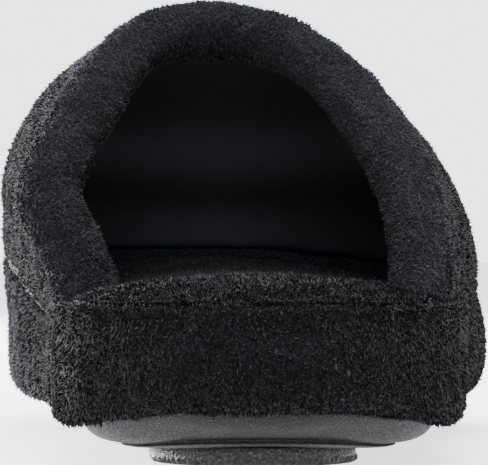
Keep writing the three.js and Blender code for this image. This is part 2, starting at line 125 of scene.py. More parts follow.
def smoothLine(corners, count):
    # a round line through typed corners, which are in millimetres
    corners = np.asarray(corners, float) * mm
    spots = np.linspace(0, len(corners) - 1, count)
    whole = np.clip(spots.astype(int), 0, len(corners) - 2)
    part = (spots - whole)[:, None]
    before = corners[np.clip(whole - 1, 0, len(corners) - 1)]
    start, end = corners[whole], corners[whole + 1]
    after = corners[np.clip(whole + 2, 0, len(corners) - 1)]
    return 0.5 * (
        2 * start + (end - before) * part + (2 * before - 5 * start + 4 * end - after) * part ** 2
        + (3 * start - before - 3 * end + after) * part ** 3
    )


def lumps(piece, depth, size, basis):
    # clouds push the surface in and out
    clouds = bpy.data.textures.new(piece.name + "Lumps", "CLOUDS")
    clouds.noise_scale = size
    clouds.noise_depth = 1
    clouds.noise_basis = basis
    finishWith(
        piece, "DISPLACE", texture=clouds, texture_coords="LOCAL", strength=depth, mid_level=0.5
    )


def roughen(piece, soft):
    # uneven stuffing, and over it the small relief of the curly pile
    lumps(piece, soft["softness"], soft["hump"], "BLENDER_ORIGINAL")
    lumps(piece, soft["curls"], soft["curl"], "IMPROVED_PERLIN")


def shadeSmooth(piece):
    pick(piece)
    bpy.ops.object.shade_smooth()


def puffUp(piece, sewn, pad):
    # blows the pad up as cloth and caps how far a point moves; the sewn points stay
    piece.vertex_groups.new(name="sewn").add(sewn.tolist(), 1, "REPLACE")
    before = readPoints(piece)
    pick(piece)
    cloth = piece.modifiers.new("Cloth", "CLOTH")
    cloth.settings.vertex_group_mass = "sewn"
    cloth.settings.use_pressure = True
    cloth.settings.uniform_pressure_force = pad["pressure"]
    cloth.settings.effector_weights.gravity = 0
    cloth.point_cache.frame_end = pad["frames"]
    for tick in range(1, pad["frames"] + 1):
        bpy.context.scene.frame_set(tick)
    bpy.ops.object.modifier_apply(modifier=cloth.name)
    bpy.context.scene.frame_set(1)
    move = readPoints(piece) - before
    far = np.linalg.norm(move, axis=1)
    print(f"{piece.name}: puffed up by {far.mean() / mm:.1f} mm, {far.max() / mm:.1f} mm at most")
    move *= (np.minimum(far, pad["puff"]) / np.maximum(far, 1e-9))[:, None]
    writePoints(piece, before + move)


# Finishes. A wire is one output of a node, and Python's own signs add Math nodes to it.

class Wire:
    def __init__(self, finish, socket):
        self.finish = finish
        self.socket = socket

    def worked(self, operation, first, second):
        return self.finish.add("Math", {"operation": operation}, {0: first, 1: second})

    def __add__(self, other):
        return self.worked("ADD", self, other)

    def __radd__(self, other):
        return self.worked("ADD", other, self)

    def __sub__(self, other):
        return self.worked("SUBTRACT", self, other)

    def __rsub__(self, other):
        return self.worked("SUBTRACT", other, self)

    def __mul__(self, other):
        return self.worked("MULTIPLY", self, other)

    def __rmul__(self, other):
        return self.worked("MULTIPLY", other, self)


class Finish:
    def __init__(self, name):
        self.material = bpy.data.materials.new(name)
        self.material.use_nodes = True
        self.material.node_tree.nodes.clear()
        self.where = self.add("TexCoord", output="Object")

    def add(self, kind, settings=None, values=None, output=0):
        tree = self.material.node_tree
        node = tree.nodes.new("ShaderNode" + kind)
        for setting, value in (settings or {}).items():
            setattr(node, setting, value)
        for socket, value in (values or {}).items():
            if isinstance(value, Wire):
                tree.links.new(value.socket, node.inputs[socket])
            else:
                node.inputs[socket].default_value = value
        return Wire(self, node.outputs[output]) if len(node.outputs) else None

    def noise(self, size, detail=2.0):
        # size is the width of one blotch
        return self.add(
            "TexNoise", {}, {"Vector": self.where, "Scale": 1 / size, "Detail": detail}
        )

    def cells(self, size):
        values = {"Vector": self.where, "Scale": 1 / size}
        return self.add("TexVoronoi", {"feature": "F1"}, values, "Distance")

    def along(self, axis):
        # the X, Y or Z of a place on the shoe
        return self.add("SeparateXYZ", {}, {"Vector": self.where}, axis)

    def between(self, value, low, high):
        # 0 at low, 1 at high
        values = {"Value": value, "From Min": low, "From Max": high}
        return self.add("MapRange", {"interpolation_type": "SMOOTHSTEP"}, values)

    def blend(self, share, first, second):
        return self.add("Mix", {"data_type": "RGBA"}, {0: share, 6: first, 7: second}, 2)

    def bump(self, height, depth):
        return self.add("Bump", {}, {"Height": height, "Distance": depth})

    def surface(self, values):
        shader = self.add("BsdfPrincipled", {}, values)
        self.add("OutputMaterial", {}, {"Surface": shader})
        return self.material


def black(level, blue=1.5):
    # the plush is a slightly bluish black
    return (level, level * 1.04, level * blue, 1)


def grey(level):
    return (level, level * 0.99, level * 1.12, 1)


plush = {                   # what all the plush has in common
    "sheen": 0.045,
    "sheenRoughness": 0.3,
    "shine": 0.04,          # its specular level
}


def plushGround(name, deep, bright):
    # the woven ground under the tufts, blotched as they are
    finish = Finish(name)
    blotches = finish.between(finish.noise(7 * mm, 2), 0.35, 0.65)
    specks = finish.between(finish.noise(0.7 * mm, 3), 0.35, 0.68)
    loops = finish.cells(0.9 * mm)
    share = specks * 0.7 + blotches * 0.3
    return finish.surface({
        "Base Color": finish.blend(share, black(deep), black(bright, 1.35)),
        "Roughness": 0.95 - 0.1 * specks,
        "Normal": finish.bump(specks - loops * 0.6, 0.5 * mm),
        "Sheen Weight": plush["sheen"],
        "Sheen Roughness": plush["sheenRoughness"],
        "Specular IOR Level": plush["shine"],
    })


def tuftFinish(name, level, blue=1.5):
    # one tuft is one shade; the pile's pattern comes from how the shades are strewn
    finish = Finish(name)
    return finish.surface({
        "Base Color": black(level, blue),
        "Roughness": 0.9,
        "Sheen Weight": plush["sheen"],
        "Sheen Roughness": plush["sheenRoughness"],
        "Specular IOR Level": plush["shine"],
    })


# painted light and shade: each part of the lining is paler where it lies in shade and darker where
# light reaches it
liningPaintedShades = {            # two levels for each part of the lining, and how blue they are
    "overhead": (0.045, 0.055, 1.25),
    "walls": (0.09, 0.11, 1.25),
    "toe": (0.018, 0.024, 1.3),
}


def liningFinish():
    # the dark knitted lining, with painted light and shade: darkest low in the toe where light
    # reaches in, darker overhead by the collar's painted shadow, paler on the shaded walls
    finish = Finish("darkLining")
    knit = finish.cells(0.8 * mm)
    fuzz = finish.noise(4 * mm, 4)
    height = finish.along("Z")
    shades = {}
    for part, (low, high, blue) in liningPaintedShades.items():
        shades[part] = finish.blend(fuzz, black(low, blue), black(high, blue))
    ahead = finish.between(finish.along("Y"), 60 * mm, 90 * mm)
    inToe = ahead * (1 - finish.between(height, 50 * mm, 63 * mm))
    around = finish.blend(inToe, shades["walls"], shades["toe"])
    over = finish.between(height, 58 * mm, 70 * mm)
    return finish.surface({
        "Base Color": finish.blend(over, around, shades["overhead"]),
        "Roughness": 0.95 - 0.05 * fuzz,
        "Normal": finish.bump(1 - knit, 0.12 * mm),
        "Specular IOR Level": 0.1,
    })


def rubberFinish(name, low, high, grain, top):
    # moulded rubber with a fine leather-like grain; painted shade makes it darker higher up, under
    # the plush's overhang
    finish = Finish(name)
    pebbles = finish.cells(grain)
    flecks = finish.between(finish.noise(grain * 0.8, 3), 0.4, 0.62)
    wear = finish.noise(9 * mm, 3)
    # painted shade: the rubber is darker towards the top
    paintedShadeHigh = finish.between(finish.along("Z"), 3 * mm, top)
    share = (flecks * 0.6 + wear * 0.4) * (1 - paintedShadeHigh * 0.75)
    return finish.surface({
        "Base Color": finish.blend(share, grey(low), grey(high)),
        "Roughness": 0.75 - 0.2 * flecks,
        "Normal": finish.bump(flecks - pebbles * 0.8, 0.3 * mm),
        "Specular IOR Level": 0.3,
    })


def threadFinish(name, low, high):
    # spun thread, blotched between two levels
    finish = Finish(name)
    twist = finish.between(finish.noise(0.5 * mm, 2), 0.35, 0.65)
    return finish.surface({
        "Base Color": finish.blend(twist, black(low, 1.2), black(high, 1.2)),
        "Roughness": 0.8 - 0.15 * twist,
        "Normal": finish.bump(twist, 0.1 * mm),
        "Sheen Weight": plush["sheen"],
        "Sheen Roughness": plush["sheenRoughness"],
        "Specular IOR Level": 0.1,
    })


upperGround = plushGround("plushGroundUpper", 0.004, 0.012)
insoleGround = plushGround("plushGroundInsole", 0.002, 0.006)
wrapGround = plushGround("plushGroundWrap", 0.002, 0.007)
lining = liningFinish()
seamThread = threadFinish("seamThread", 0.003, 0.006)
# the upright threads are paler than the sewn-on ones: a painted highlight, standing for the light
# caught along the upright seam
uprightThread = threadFinish("uprightThread", 0.014, 0.032)
tuftShades = [
    tuftFinish("tuftShadow", 0.0008),
    tuftFinish("tuftDark", 0.002),
    tuftFinish("tuftDim", 0.003),
    tuftFinish("tuftMiddle", 0.0045),
    tuftFinish("tuftPale", 0.0075, 1.35),
    tuftFinish("tuftLight", 0.0135, 1.3),
    tuftFinish("tuftFleck", 0.022, 1.15),
]
print("finishes mixed")


# Tufts: a closed little spike of pile for each shade, strewn over the plush further down

tuft = {
    "width": 0.58 * mm,
    "length": 1.0 * mm,
    "bend": 0.22 * mm,      # its tip leans by up to one and a half times this
    "root": 0.12 * mm,      # how deep it is set
    "sizes": (0.65, 1.3),   # the smallest and the largest
    "curl": 6 * mm,         # width of one swirl of the pile
    "swirl": 2.6,           # how strongly it swirls
    "blotch": 5 * mm,       # width of one blotch of shade
    "patches": (0.7, 1.25),  # size in the darkest and in the palest blotch
    "shades": (0.9, 3.4),   # and its shade, counted in the list above
    "stray": 0.7,           # how far one tuft strays from it
    "flecks": 0.012,        # share of pale ones
}


def modelTuft(name, shade, bend):
    bpy.ops.object.select_all(action="DESELECT")
    bpy.ops.mesh.primitive_cone_add(
        vertices=3, radius1=tuft["width"] / 2, depth=tuft["length"], end_fill_type="NGON",
        location=(0, 0, tuft["length"] / 2),
    )
    spike = bpy.context.object
    spike.name = spike.data.name = name
    bpy.ops.object.transform_apply(location=True, rotation=True, scale=True)
    points = readPoints(spike)
    tip = points[:, 2] > tuft["length"] * 0.9
    points[tip, 0] += bend
    points[:, 2] -= tuft["root"]
    writePoints(spike, points)
    bpy.ops.object.shade_smooth()
    spike.data.materials.append(shade)
    return spike


tufts = bpy.data.collections.new("tufts")
for number, shade in enumerate(tuftShades):
    spike = modelTuft("tuft" + str(number), shade, tuft["bend"] * (number % 4 - 1.5))
    for owner in list(spike.users_collection):
        owner.objects.unlink(spike)
    tufts.objects.link(spike)


def strewTree(name, density, nap, stand, mess, seed):
    # the recipe that strews tufts where the vertex group "pile" is, leaning along the nap
    tree = bpy.data.node_groups.new(name, "GeometryNodeTree")
    tree.interface.new_socket("Geometry", in_out="INPUT", socket_type="NodeSocketGeometry")
    tree.interface.new_socket("Geometry", in_out="OUTPUT", socket_type="NodeSocketGeometry")

    def add(kind, settings=None, values=None):
        node = tree.nodes.new(kind)
        for setting, value in (settings or {}).items():
            setattr(node, setting, value)
        for socket, value in (values or {}).items():
            if isinstance(value, bpy.types.NodeSocket):
                tree.links.new(value, node.inputs[socket])
            else:
                node.inputs[socket].default_value = value
        return node.outputs

    def sumOf(first, second):
        return add("ShaderNodeVectorMath", {"operation": "ADD"}, {0: first, 1: second})[0]

    def scaled(vector, by):
        return add("ShaderNodeVectorMath", {"operation": "SCALE"}, {0: vector, 3: by})[0]

    def worked(operation, first, second):
        return add("ShaderNodeMath", {"operation": operation}, {0: first, 1: second})[0]

    def spread(value, low, high):
        # a cloud's middle values spread from low to high
        return add("ShaderNodeMapRange", {}, {0: value, 1: 0.36, 2: 0.64, 3: low, 4: high})[0]

    def luck(low, high, turn):
        kind = {"data_type": "FLOAT"}
        return add("FunctionNodeRandomValue", kind, {2: low, 3: high, "Seed": seed + turn})[1]

    lightest = len(tuftShades) - 1
    shell = add("NodeGroupInput")[0]
    pile = add("GeometryNodeInputNamedAttribute", {"data_type": "FLOAT"}, {"Name": "pile"})[0]
    strewn = add(
        "GeometryNodeDistributePointsOnFaces", {"distribute_method": "RANDOM"},
        {"Mesh": shell, "Density": worked("MULTIPLY", pile, density), "Seed": seed},
    )
    swirl = add(
        "ShaderNodeTexNoise", {"noise_dimensions": "3D"}, {"Scale": 1 / tuft["curl"], "Detail": 2.0}
    )["Color"]
    swirl = scaled(sumOf(swirl, (-0.5, -0.5, -0.5)), tuft["swirl"])
    chance = add(
        "FunctionNodeRandomValue", {"data_type": "FLOAT_VECTOR"},
        {0: (-mess, -mess, -mess), 1: (mess, mess, mess), "Seed": seed + 1},
    )[0]
    lean = sumOf(sumOf(scaled(strewn["Normal"], stand), nap), sumOf(swirl, chance))
    turned = add("FunctionNodeAlignRotationToVector", {"axis": "Z"}, {"Vector": lean})[0]
    twist = add(
        "FunctionNodeRandomValue", {"data_type": "FLOAT_VECTOR"},
        {0: (0, 0, 0), 1: (0, 0, 6.28), "Seed": seed + 2},
    )[0]
    turned = add(
        "FunctionNodeRotateRotation", {"rotation_space": "LOCAL"},
        {"Rotation": turned, "Rotate By": twist},
    )[0]
    size = luck(*tuft["sizes"], 3)
    blotch = add("ShaderNodeTexNoise", {}, {"Scale": 1 / tuft["blotch"], "Detail": 3.0})["Fac"]
    size = worked("MULTIPLY", size, spread(blotch, *tuft["patches"]))
    shade = add("GeometryNodeInputNamedAttribute", {"data_type": "FLOAT"}, {"Name": "shade"})[0]
    base = worked("ADD", spread(blotch, *tuft["shades"]), luck(0.0, tuft["stray"], 4))
    shade = worked("ADD", base, shade)
    shade = worked("MINIMUM", worked("MAXIMUM", shade, 0.0), lightest - 0.1)
    fleck = worked("GREATER_THAN", luck(0.0, 1.0, 5), 1 - tuft["flecks"])
    which = worked("ADD", shade, worked("MULTIPLY", fleck, 9.0))
    which = worked("MINIMUM", which, lightest)
    kinds = add("GeometryNodeCollectionInfo", {}, {
        "Collection": tufts, "Separate Children": True, "Reset Children": True,
    })[0]
    planted = add("GeometryNodeInstanceOnPoints", {}, {
        "Points": strewn["Points"], "Instance": kinds, "Pick Instance": True,
        "Instance Index": which, "Rotation": turned, "Scale": size,
    })[0]
    made = add("GeometryNodeRealizeInstances", {}, {"Geometry": planted})[0]
    add("NodeGroupOutput", {}, {"Geometry": made})
    return tree


def strewTufts(shell, name, weights, count, nap, shade=0.0, stand=0.65, mess=0.5, *, seed):
    # a skin of tufts over the shell: weights says where they grow, shade how light they are,
    # stand and nap how they lie, mess how untidily
    piece = bpy.data.objects.new(name, shell.data.copy())
    bpy.context.scene.collection.objects.link(piece)
    piece.data.name = name
    piece.data.materials.clear()
    group = piece.vertex_groups.new(name="pile")
    for step in range(11):
        chosen = np.nonzero(np.round(weights * 10) == step)[0]
        if step and len(chosen):
            group.add(chosen.tolist(), step / 10, "REPLACE")
    mesh = piece.data
    tone = mesh.attributes.new("shade", "FLOAT", "POINT")
    tone.data.foreach_set("value", (np.zeros(len(weights)) + shade).astype(np.float32))
    area = np.empty(len(mesh.polygons))
    mesh.polygons.foreach_get("area", area)
    starts = np.empty(len(mesh.polygons), np.int32)
    mesh.polygons.foreach_get("loop_start", starts)
    corners = np.empty(len(mesh.loops), np.int32)
    mesh.loops.foreach_get("vertex_index", corners)
    covered = float((area * (np.round(weights * 10) / 10)[corners[starts]]).sum())
    tree = strewTree(name + "Recipe", count / covered, nap, stand, mess, seed)
    finishWith(piece, "NODES", node_group=tree)
    print(f"{name}: {len(piece.data.polygons)} faces over {covered * 1e4:.0f} cm2")
    return piece


# Lines on the shoe in millimetres: the platform's rim on both sides from heel to toe, and the
# collar's edge from the inner wing over the instep to the outer wing

rimInner = [
    (0.3, -130.2, 28.5), (-9.9, -129.1, 28.5), (-18.1, -125.8, 28.5), (-25.1, -120.5, 28.5),
    (-30.6, -113.1, 28.5), (-34.6, -103.7, 28.5), (-36.6, -92.6, 28.2), (-36.9, -79.7, 27.7),
    (-37.3, -65.5, 26.5), (-37.8, -50.1, 24.8), (-38.7, -33.8, 24.6), (-40.1, -17.0, 24.9),
    (-42.2, 0.1, 26.0), (-44.7, 17.2, 28.8), (-47.1, 34.0, 31.5), (-48.9, 50.2, 33.9),
    (-49.5, 65.5, 35.6), (-49.4, 79.7, 36.4), (-47.7, 92.5, 36.9), (-44.2, 103.6, 37.4),
    (-39.3, 113.0, 37.7), (-33.1, 120.5, 37.9), (-26.0, 125.8, 38.1), (-17.9, 129.1, 38.2),
    (-7.9, 130.2, 38.2),
]
rimOuter = [
    (0.3, -130.2, 28.5), (10.5, -129.1, 28.5), (18.7, -125.8, 28.5), (25.7, -120.5, 28.5),
    (31.2, -113.1, 28.5), (35.2, -103.7, 28.5), (37.2, -92.6, 28.3), (37.5, -79.7, 28.0),
    (37.6, -65.5, 27.6), (38.0, -50.1, 27.2), (39.5, -33.8, 27.2), (41.8, -17.0, 28.1),
    (44.7, 0.1, 29.1), (47.4, 17.2, 30.0), (49.7, 34.0, 30.7), (51.0, 50.2, 31.4),
    (50.4, 65.4, 32.2), (47.3, 79.5, 33.0), (42.6, 92.3, 33.9), (36.2, 103.5, 35.0),
    (28.6, 112.9, 36.0), (20.3, 120.4, 36.9), (11.6, 125.8, 37.6), (2.5, 129.1, 38.1),
    (-7.9, 130.2, 38.2),
]
collarEdge = [
    (-33.4, -40.3, 24.8), (-41.9, -33.2, 48.7), (-36.5, -25.6, 61.3), (-31.8, -18.4, 69.1),
    (-28.4, -12.0, 74.4), (-24.9, -6.4, 78.6), (-21.0, -1.9, 82.0), (-16.6, 1.4, 84.3),
    (-12.1, 3.3, 85.5), (-7.6, 3.9, 85.9), (0.0, 3.3, 85.1), (7.5, 1.4, 82.6),
    (14.4, -1.9, 78.6), (20.8, -6.4, 73.3), (26.3, -11.9, 66.9), (30.8, -18.3, 59.4),
    (34.1, -25.2, 50.6), (35.6, -32.6, 40.3), (36.1, -40.3, 27.4),
]


def outwardsOf(line):
    # which way is out of the shoe at each corner of a line round it, seen from above
    way = np.gradient(line, axis=0)
    way = np.stack([-way[:, 1], way[:, 0], np.zeros(len(way))], 1)
    return way / np.linalg.norm(way, axis=1)[:, None]


rimRing = smoothLine(rimInner + rimOuter[-2::-1], 400)
collarLine = smoothLine(collarEdge, 200)


def outerBall(points):
    # 1 at the ball's outer side, 0 at the heel, the toe and the inner side
    along = ease(points[:, 1], -30 * mm, 20 * mm) * (1 - ease(points[:, 1], 85 * mm, 110 * mm))
    return along * ease(points[:, 0], 30 * mm, 44 * mm)


def heelArch(points):
    # 1 beside the heel's middle, where the cup stands higher
    width = np.abs(points[:, 0])
    arch = ease(width, 6 * mm, 16 * mm) * (1 - ease(width, 26 * mm, 33 * mm))
    return arch * (1 - ease(points[:, 1], -90 * mm, -60 * mm))


def innerBall(points):
    # 1 at the ball's inner side, 0 at the heel and the outer side
    return ease(points[:, 1], -5 * mm, 45 * mm) * ease(-points[:, 0], 20 * mm, 40 * mm)


side = {                    # how the sides and the seams run
    "lean": 1.6 * mm,       # the inner side leans out at the ball
    "ease": 1.3 * mm,       # the outer side is drawn in
    "rise": 2.6 * mm,       # how far above the rim the upper is sewn on at the inner ball
    "fall": 2.0 * mm,       # and how far below it at the inner wing
    "seamAt": -97.0 * mm,   # where the wrap's two upright seams are, beside the heel
    "crease": 0.9 * mm,     # how deep a seam lies
    "creaseWidth": 1.1 * mm,
}


def leanOf(points):
    # how far the sides lean towards the inner side at the ball
    return side["lean"] * innerBall(points) + side["ease"] * outerBall(points)


def creaseNear(away):
    # 1 on a seam, 0 a little beside it
    return np.exp(-(away / side["creaseWidth"]) ** 2)


# where the upper is sewn on: it rises above the rim at the inner ball and falls behind
onInner = ease(-rimRing[:, 0], 20 * mm, 34 * mm) * (1 - ease(rimRing[:, 1], 85 * mm, 115 * mm))
lift = side["rise"] * ease(rimRing[:, 1], -10 * mm, 45 * mm)
lift -= side["fall"] * (1 - ease(rimRing[:, 1], -50 * mm, -10 * mm))
sewnLine = rimRing.copy()
sewnLine[:, 0] -= leanOf(sewnLine)
sewnLine[:, 2] += onInner * lift
sewnLine = sewnLine[rimRing[:, 1] > -52 * mm]


# Upper

upper = {
    "grain": 1.3 * mm,      # mesh size of the soft shell
    "softness": 0.9 * mm,   # unevenness of the foam
    "hump": 14 * mm,        # and how wide one hump of it is
    "curls": 0.8 * mm,      # small relief of the curly pile
    "curl": 3.5 * mm,
    "hem": 11.5 * mm,       # from the collar's edge to the hem's crease
    "hemWidth": 1.7 * mm,
    "hemDepth": 2.0 * mm,
    "ridge": 15.1 * mm,     # and to the ridge beyond it
    "ridgeWidth": 1.8 * mm,
    "rollRight": 1.8 * mm,  # how much fuller the collar's roll is inside, on both sides
    "rollLeft": 0.9 * mm,
    "crown": 0.8 * mm,      # the instep stands higher
    "footDrop": 0.7 * mm,   # the foot is sewn down onto the platform
    "footOut": 0.6 * mm,    # and reaches out over the rim on the inner side
    "ballLean": 0.9 * mm,   # the foot leans out at the inner ball
    "tufts": 46000,         # in the collar's pile, and as many on the vamp
}

upperShell = solidCopy("upper", "upperShell")
finishWith(upperShell, "SUBSURF", levels=2, render_levels=2)
finishWith(upperShell, "REMESH", mode="VOXEL", voxel_size=upper["grain"])
finishWith(upperShell, "SMOOTH", factor=0.5, iterations=8)
smooth = readPoints(upperShell)
roughen(upperShell, upper)

points = readPoints(upperShell)
normals = readPoints(upperShell, "normal")
middle = np.tile([-2 * mm, 0, 36 * mm], (len(points), 1))  # a line along the foot's middle
middle[:, 1] = np.minimum(points[:, 1], 85 * mm)
away = points - middle
away /= np.linalg.norm(away, axis=1)[:, None]
outside = ease((away * normals).sum(1), -0.1, 0.25)
fromEdge, _ = nearLine(points, collarLine)
fromRim, _ = nearLine(points, rimRing)
crease = np.exp(-((fromEdge - upper["hem"]) / upper["hemWidth"]) ** 2)
ridge = np.exp(-((fromEdge - upper["ridge"]) / upper["ridgeWidth"]) ** 2)
move = outside * (0.3 * ridge - crease) * upper["hemDepth"]
roll = (1 - outside) * (1 - ease(fromEdge, 8 * mm, 22 * mm))
move += roll * upper["rollRight"] * ease(points[:, 0], 8 * mm, 24 * mm)
move += roll * upper["rollLeft"] * ease(-points[:, 0], 30 * mm, 36 * mm)
points += normals * move[:, None]
foot = 1 - ease(fromRim, 6 * mm, 9 * mm)
points[:, 2] -= upper["footDrop"] * foot * ease(-normals[:, 2], 0.3, 0.8)
points[:, 0] -= upper["ballLean"] * innerBall(points) * (1 - ease(fromRim, 3 * mm, 11 * mm))
innerSide = outside * ease(-points[:, 0], 20 * mm, 36 * mm)
points[:, 0] -= upper["footOut"] * innerSide * (1 - ease(fromRim, 3 * mm, 9 * mm))
points[:, 2] += upper["crown"] * ease(points[:, 2], 55 * mm, 82 * mm)
fromSeam, _ = nearLine(points, sewnLine)
seamShade = creaseNear(fromSeam) * outside
points -= normals * (side["crease"] * seamShade)[:, None]
onRoll = 1 - ease(fromEdge, 20 * mm, 34 * mm)
plushy = np.maximum(outside, onRoll)
points += (smooth - points) * (1 - plushy)[:, None]  # the lining stays smooth
writePoints(upperShell, points)
shadeSmooth(upperShell)

offSeam = ease(fromRim, 0.3 * mm, 1.1 * mm)
inCollar = 1 - ease(fromEdge, 24 * mm, 32 * mm)
# masks for painted shade in the collar's pile: its outside facing the left and the right lamp, and
# the inside of its roll facing down on the left, which gets a painted shadow
facingLeft = outside * ease(-normals[:, 0], 0.4, 0.9)
facingRight = outside * ease(normals[:, 0], 0.5, 0.95)
shadow = (1 - outside) * ease(-normals[:, 2], -0.05, 0.4) * ease(-points[:, 0], -12 * mm, 4 * mm)
upperShell.data.materials.append(upperGround)
upperShell.data.materials.append(lining)
corners = [list(face.vertices) for face in upperShell.data.polygons]
for face, around in zip(upperShell.data.polygons, corners):
    face.material_index = 0 if plushy[around].mean() > 0.5 else 1

# painted light and shade in the collar's pile: paler on the right and at the top, which lie in
# shade, darker on the outsides facing the lamps, in the roll's painted shadow and in the seam's
# crease
collarPile = strewTufts(
    upperShell, "collarPile", plushy * inCollar * offSeam, upper["tufts"], (0, 0.1, -0.25),
    shade=2.5 + 0.8 * ease(points[:, 0], 0, 20 * mm) + ease(points[:, 2], 60 * mm, 80 * mm)
    - 3.2 * shadow - 1.6 * facingLeft - 2.2 * facingRight - 2 * seamShade, seed=11,
)
# painted shade in the vamp's pile: darker towards the outer side, where the right lamp falls, and
# in the seam's crease
vampPile = strewTufts(
    upperShell, "vampPile", outside * (1 - inCollar) * offSeam, upper["tufts"], (0, 0.3, -0.3),
    shade=0.5 - 2.6 * ease(points[:, 0], -20 * mm, 20 * mm) - 2 * seamShade, seed=21,
)
for piece in (upperShell, collarPile, vampPile):
    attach(piece, "root")
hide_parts("upper")
print("upper sewn")


# Insole

insole = {
    "grain": 2.5 * mm,      # the cloth's mesh, halved once it is puffed up
    "slack": 0.6 * mm,      # how much smaller the pad starts
    "pressure": 12.0,
    "frames": 20,           # how long it is blown up
    "puff": 1.6 * mm,       # the most that a point may move
    "softness": 0.8 * mm,
    "hump": 16 * mm,
    "curls": 0.6 * mm,
    "curl": 3.5 * mm,
    "overhang": 0.5 * mm,   # the cover's edge is drawn down onto the rim
    "shoulder": 0.5 * mm,   # how much lower the heel's sides are
    "tufts": 46000,
}

insolePad = solidCopy("insole", "insolePad")
finishWith(insolePad, "SUBSURF", levels=2, render_levels=2)
finishWith(insolePad, "REMESH", mode="VOXEL", voxel_size=insole["grain"])
points = readPoints(insolePad)
normals = readPoints(insolePad, "normal")
onTop = ease(normals[:, 2], -0.3, 0.3)
writePoints(insolePad, points - normals * (insole["slack"] * onTop)[:, None])
puffUp(insolePad, np.nonzero(onTop < 0.5)[0], insole)
finishWith(insolePad, "SUBSURF", levels=1, render_levels=1)
finishWith(insolePad, "SMOOTH", factor=0.5, iterations=2)
roughen(insolePad, insole)
points = readPoints(insolePad)
normals = readPoints(insolePad, "normal")
fromRim, _ = nearLine(points, rimRing)
drawn = ease(-normals[:, 2], -0.2, 0.5) * (1 - ease(fromRim, 5 * mm, 9 * mm))
points[:, 2] -= insole["overhang"] * drawn
atHeel = 1 - ease(points[:, 1], -70 * mm, -30 * mm)
shoulder = atHeel * ease(np.abs(points[:, 0]), 14 * mm, 36 * mm) * ease(normals[:, 2], -0.2, 0.4)
points[:, 2] -= insole["shoulder"] * shoulder
writePoints(insolePad, points)
shadeSmooth(insolePad)
insolePad.data.materials.append(insoleGround)
topSide = ease(normals[:, 2], -0.75, -0.35)
# painted light in the insole's pile: paler ahead of the heel, deep in the shoe where it lies in
# shade
insolePile = strewTufts(
    insolePad, "insolePile", topSide, insole["tufts"], (0, -0.35, -0.25),
    shade=-1.7 + 6.1 * ease(points[:, 1], -75 * mm, -25 * mm), seed=31,
)
for piece in (insolePad, insolePile):
    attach(piece, "root")
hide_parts("insole")
print("insole padded")


# Platform

platform = {
    "grain": 1.3 * mm,
    "softness": 0.8 * mm,
    "hump": 15 * mm,
    "curls": 0.6 * mm,
    "curl": 3.5 * mm,
    "rimLift": 0.4 * mm,    # the rim swells up against the insole and the upper
    "skirt": 0.3 * mm,      # its lower edge hangs over the outsole
    "tuck": 2.2 * mm,       # and is drawn in under it
    "arch": 0.8 * mm,       # it is drawn up beside the heel's middle
    "tufts": 46000,
}

platformWrap = solidCopy("midsole", "platformWrap")
finishWith(platformWrap, "SUBSURF", levels=2, render_levels=2)
finishWith(platformWrap, "REMESH", mode="VOXEL", voxel_size=platform["grain"])
finishWith(platformWrap, "SMOOTH", factor=0.5, iterations=3)
roughen(platformWrap, platform)
points = readPoints(platformWrap)
normals = readPoints(platformWrap, "normal")
fromRim, _ = nearLine(points, rimRing)
atRim = 1 - ease(fromRim, 2 * mm, 7 * mm)
points[:, 2] += platform["rimLift"] * atRim * ease(normals[:, 2], 0.0, 0.7)
points[:, 0] -= leanOf(points) * (1 - ease(fromRim, 1 * mm, 11 * mm))
points[:, 0] -= side["ease"] * outerBall(points) * (1 - ease(points[:, 2], 8 * mm, 16 * mm))
fromSide = np.hypot(normals[:, 0], normals[:, 1])
points[:, 2] -= platform["skirt"] * ease(-normals[:, 2], 0.2, 0.7) * ease(fromSide, 0.05, 0.4)
flat = np.array([1, 1, 0])  # seen from above
across, along = nearLine(points * flat, rimRing * flat)
away = outwardsOf(rimRing)[np.round(along * (len(rimRing) - 1)).astype(int)]
low = 1 - ease(points[:, 2], 5.5 * mm, 11 * mm)
atHeel = 1 - ease(points[:, 1], -75 * mm, -50 * mm)
low *= 1 - atHeel * ease(np.abs(points[:, 0]), 21 * mm, 29 * mm)
points -= away * (platform["tuck"] * low * (1 - ease(across, 4 * mm, 14 * mm)))[:, None]
points[:, 2] += platform["arch"] * heelArch(points) * (1 - ease(points[:, 2], 8 * mm, 14 * mm))
fromSeam, _ = nearLine(points, sewnLine)
seamShade = creaseNear(fromSeam)
upright = creaseNear(points[:, 1] - side["seamAt"]) * ease(fromSide, 0.3, 0.8)
points -= normals * (side["crease"] * np.maximum(seamShade, upright))[:, None]
writePoints(platformWrap, points)
shadeSmooth(platformWrap)
platformWrap.data.materials.append(wrapGround)
wall = ease(fromSide, 0.1, 0.4)
outward = ease(normals[:, 0] * points[:, 0] + normals[:, 1] * points[:, 1] * 0.4, 0, 0.004)
# painted light and shade in the wrap's pile: paler at the inner ball and on the outer side for the
# light they catch, paler along the inner upright seam as a painted highlight of its lit fuzz,
# darker in the seam's crease
platformPile = strewTufts(
    platformWrap, "platformPile", wall * outward * ease(fromRim, 0.2 * mm, 0.9 * mm),
    platform["tufts"], (0, 0, -0.6),
    shade=-1.5 + 5.2 * innerBall(points) + 0.9 * ease(points[:, 0], 15 * mm, 35 * mm)
    - 2 * seamShade + 3 * upright * (points[:, 0] < 0), seed=41,
)
for piece in (platformWrap, platformPile):
    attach(piece, "root")
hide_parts("midsole")
print("platform wrapped")


# Seams: a fluffy ridge round the rim, two threads where the upper is sewn on, two upright ones

